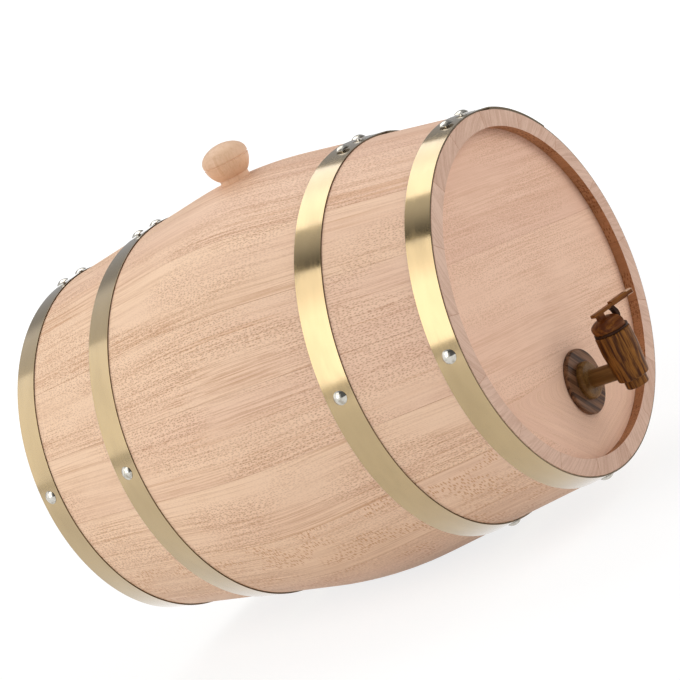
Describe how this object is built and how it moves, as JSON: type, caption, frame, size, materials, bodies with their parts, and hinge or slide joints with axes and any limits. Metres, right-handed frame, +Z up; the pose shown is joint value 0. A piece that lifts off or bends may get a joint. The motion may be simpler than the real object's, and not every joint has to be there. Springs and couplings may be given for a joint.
{
  "type": "oak cask liquor dispenser",
  "caption": "Lying wooden cask with riveted brass hoops, a pull-out bung on top and a turned wooden tap with a turning key in the front head.",
  "frame": {"origin": "lowest point of the belly, halfway along the cask, where it lies in a cradle", "axes": "+Z up through the bung; +Y along the cask's axis from the tap towards the rear head; +X to the right as seen from the front"},
  "size_m": [0.252, 0.3463, 0.2748],
  "materials": {
    "stave_wood": "planed and waxed",
    "head_wood": "planed and waxed",
    "dowel_wood": "raw",
    "hoop_brass": "satin",
    "fixing_steel": "polished domed heads",
    "bung_wood": "turned, waxed",
    "flange_wood": "turned, oiled",
    "stem_wood": "turned, oiled",
    "tap_wood": "turned, oiled",
    "key_wood": "carved, oiled"
  },
  "bodies": {
    "cask": {"bung_stave": "stave_wood", "stave_2": "stave_wood", "stave_3": "stave_wood", "stave_4": "stave_wood", "stave_5": "stave_wood", "stave_6": "stave_wood", "stave_7": "stave_wood", "stave_8": "stave_wood", "stave_9": "stave_wood", "stave_10": "stave_wood", "stave_11": "stave_wood", "stave_12": "stave_wood", "stave_13": "stave_wood", "stave_14": "stave_wood", "stave_15": "stave_wood", "stave_16": "stave_wood", "stave_17": "stave_wood", "front_head_upper": "head_wood", "front_head_middle": "head_wood", "front_head_lower": "head_wood", "rear_head_upper": "head_wood", "rear_head_middle": "head_wood", "rear_head_lower": "head_wood", "front_head_dowels": "dowel_wood", "rear_head_dowels": "dowel_wood", "front_end_hoop": "hoop_brass", "front_belly_hoop": "hoop_brass", "rear_belly_hoop": "hoop_brass", "rear_end_hoop": "hoop_brass", "hoop_rivets": "fixing_steel", "hoop_nails": "fixing_steel", "tap_flange": "flange_wood", "tap_stem": "stem_wood", "tap_body": "tap_wood"},
    "bung": {"bung": "bung_wood"},
    "key": {"tap_key": "key_wood"}
  },
  "joints": [
    {"name": "bung_pull", "type": "slide", "parent": "cask", "child": "bung", "axis": [0, 0, 1], "range_m": [0, 0.04]},
    {"name": "key_turn", "type": "hinge", "parent": "cask", "child": "key", "pos_m": [0, -0.1797, 0.092], "axis": [0, 0, 1], "continuous": true}
  ]
}
